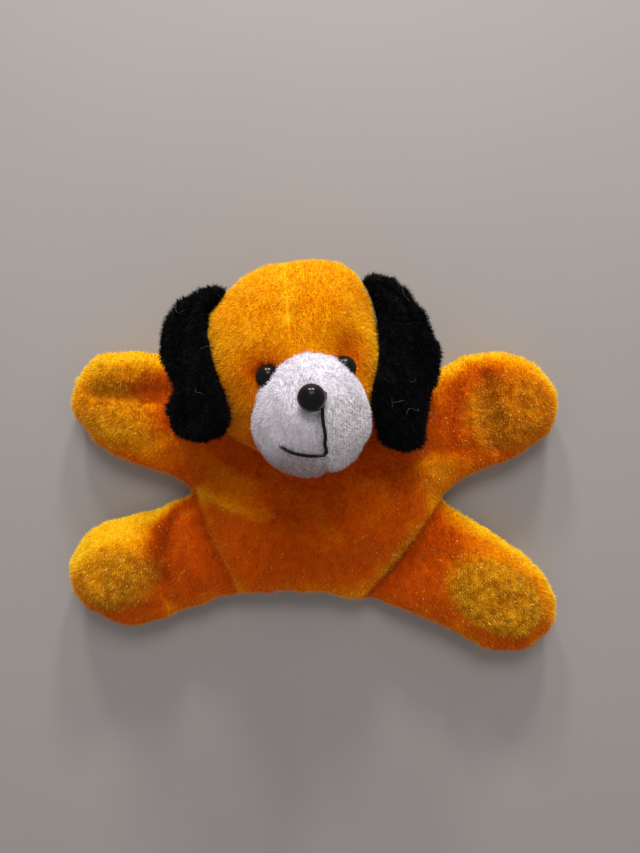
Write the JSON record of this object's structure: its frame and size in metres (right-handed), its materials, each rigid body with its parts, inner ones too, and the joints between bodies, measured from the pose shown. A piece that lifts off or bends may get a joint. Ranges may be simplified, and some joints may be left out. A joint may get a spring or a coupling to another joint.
{
  "type": "plush dog finger puppet",
  "caption": "Small plush dog puppet with a stuffed head, padded ears and folding limbs, an open hem for the fingers and a magnet in each paw.",
  "frame": {"origin": "on the surface that it lies on, under the middle of its outline", "axes": "+X across the arms towards the puppet's left paw, +Y from the hem to the top of the head, +Z from its back out through its nose"},
  "size_m": [0.1238, 0.0953, 0.0514],
  "materials": {
    "golden_velour": "short brushed golden orange pile with a sparkling nap",
    "white_velour": "short brushed white pile",
    "black_velour": "fuzzy black pile",
    "polyester_fibre": "loose white filling fibre",
    "black_bead": "glossy black moulded bead",
    "black_thread": "twisted black sewing thread",
    "ferrite_magnet": "dull grey sintered disc"
  },
  "bodies": {
    "torso": {"torso_front_panel": "golden_velour", "torso_back_panel": "golden_velour"},
    "neck": {"neck_finger_tube": "golden_velour"},
    "head": {"head_left_panel": "golden_velour", "head_right_panel": "golden_velour", "head_back_panel": "golden_velour", "head_stuffing": "polyester_fibre", "muzzle_left_panel": "white_velour", "muzzle_right_panel": "white_velour", "muzzle_stuffing": "polyester_fibre", "left_eye_bead": "black_bead", "right_eye_bead": "black_bead", "nose_bead": "black_bead", "lip_stitch": "black_thread", "smile_stitch": "black_thread"},
    "left_ear": {"left_ear_front_cloth": "black_velour", "left_ear_back_cloth": "black_velour", "left_ear_fibre_pad": "polyester_fibre"},
    "right_ear": {"right_ear_front_cloth": "black_velour", "right_ear_back_cloth": "black_velour", "right_ear_fibre_pad": "polyester_fibre"},
    "left_arm": {"left_arm_front_cloth": "golden_velour", "left_arm_back_cloth": "golden_velour", "left_arm_fibre_pad": "polyester_fibre", "left_arm_magnet": "ferrite_magnet"},
    "right_arm": {"right_arm_front_cloth": "golden_velour", "right_arm_back_cloth": "golden_velour", "right_arm_fibre_pad": "polyester_fibre", "right_arm_magnet": "ferrite_magnet"},
    "left_leg": {"left_leg_front_cloth": "golden_velour", "left_leg_back_cloth": "golden_velour", "left_leg_fibre_pad": "polyester_fibre", "left_leg_magnet": "ferrite_magnet"},
    "right_leg": {"right_leg_front_cloth": "golden_velour", "right_leg_back_cloth": "golden_velour", "right_leg_fibre_pad": "polyester_fibre", "right_leg_magnet": "ferrite_magnet"}
  },
  "joints": [
    {"name": "head_tilt", "type": "hinge", "parent": "torso", "child": "neck", "pos_m": [-0.0042, 0.02, 0.0089], "axis": [0, 0, 1], "range_deg": [-12, 12], "stiffness_Nm_per_rad": 0.02},
    {"name": "head_nod", "type": "hinge", "parent": "neck", "child": "head", "pos_m": [-0.0042, 0.02, 0.0106], "axis": [1, 0, 0], "range_deg": [-8, 8], "stiffness_Nm_per_rad": 0.08},
    {"name": "left_ear_flap", "type": "hinge", "parent": "head", "child": "left_ear", "pos_m": [-0.0206, 0.042, 0.0265], "axis": [-1, 0, 0], "range_deg": [0, 75], "stiffness_Nm_per_rad": 0.004},
    {"name": "right_ear_flap", "type": "hinge", "parent": "head", "child": "right_ear", "pos_m": [0.0112, 0.0434, 0.026], "axis": [-1, 0, 0], "range_deg": [0, 75], "stiffness_Nm_per_rad": 0.004},
    {"name": "left_arm_fold", "type": "hinge", "parent": "torso", "child": "left_arm", "pos_m": [-0.0415, 0.0148, 0.0085], "axis": [0, 1, 0], "range_deg": [-10, 60], "stiffness_Nm_per_rad": 0.002},
    {"name": "right_arm_fold", "type": "hinge", "parent": "torso", "child": "right_arm", "pos_m": [0.0405, 0.0144, 0.0085], "axis": [0, -1, 0], "range_deg": [-10, 60], "stiffness_Nm_per_rad": 0.002},
    {"name": "left_leg_fold", "type": "hinge", "parent": "torso", "child": "left_leg", "pos_m": [-0.0252, -0.0191, 0.0075], "axis": [-0.4669, 0.8843, 0], "range_deg": [-10, 60], "stiffness_Nm_per_rad": 0.003},
    {"name": "right_leg_fold", "type": "hinge", "parent": "torso", "child": "right_leg", "pos_m": [0.0224, -0.0211, 0.0075], "axis": [-0.617, -0.787, 0], "range_deg": [-10, 60], "stiffness_Nm_per_rad": 0.003}
  ]
}
